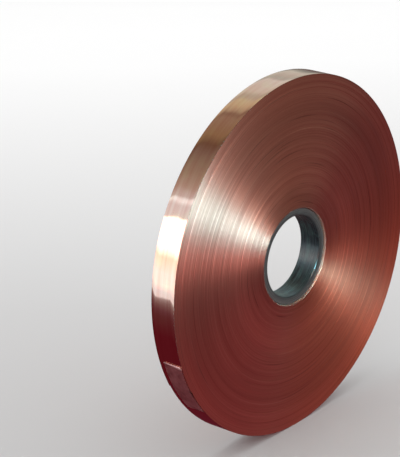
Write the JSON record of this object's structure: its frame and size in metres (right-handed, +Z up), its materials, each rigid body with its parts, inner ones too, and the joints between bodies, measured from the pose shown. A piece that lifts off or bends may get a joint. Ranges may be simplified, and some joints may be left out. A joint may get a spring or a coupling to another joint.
{
  "type": "copper strip coil",
  "caption": "Narrow coil of flat copper strip wound on a ring core, with tape over the strip's outer end: raw stock for busbar and windings.",
  "frame": {"origin": "on the floor under the middle of the coil, which stands on its rim", "axes": "+Y along the winding's axis, into the coil from its front face; +Z up; +X to the right as seen from the front"},
  "size_m": [0.6589, 0.05, 0.6583],
  "materials": {
    "copper_strip": "bright rolled copper, satin on the wound ends",
    "core_plastic": "satin",
    "tape_film": "thin translucent film"
  },
  "bodies": {
    "root": {"strip_coil": "copper_strip", "core_ring": "core_plastic", "end_tape": "tape_film"}
  },
  "joints": []
}
